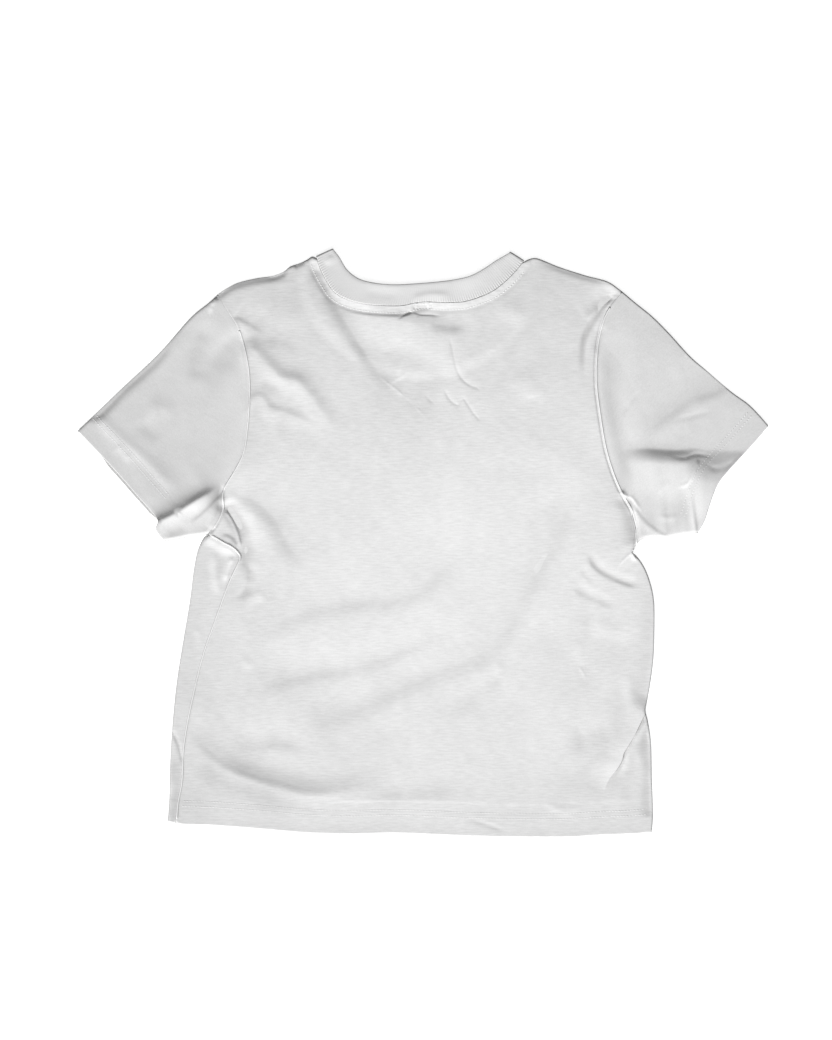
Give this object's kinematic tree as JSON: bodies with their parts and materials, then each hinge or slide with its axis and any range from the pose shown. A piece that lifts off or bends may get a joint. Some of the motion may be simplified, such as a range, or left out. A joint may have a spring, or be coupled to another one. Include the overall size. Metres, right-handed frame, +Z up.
{
  "type": "boxy t-shirt",
  "caption": "Short-sleeved cropped boxy t-shirt in plain jersey with a ribbed neckline, laid flat with its back upwards.",
  "frame": {"origin": "centre of the footprint, on the surface that the t-shirt lies on", "axes": "+X towards the wearer's right sleeve, +Y from the hem to the neck, +Z up out of the surface"},
  "size_m": [0.6634, 0.5634, 0.0062],
  "materials": {
    "jersey_white": "matt off-white cotton jersey, fine knit with faint horizontal streaks",
    "rib_white": "matt off-white cotton rib, fine upright ribs"
  },
  "bodies": {
    "root": {"back_panel": "jersey_white", "front_panel": "jersey_white", "left_sleeve": "jersey_white", "right_sleeve": "jersey_white", "neck_rib": "rib_white"}
  },
  "joints": []
}
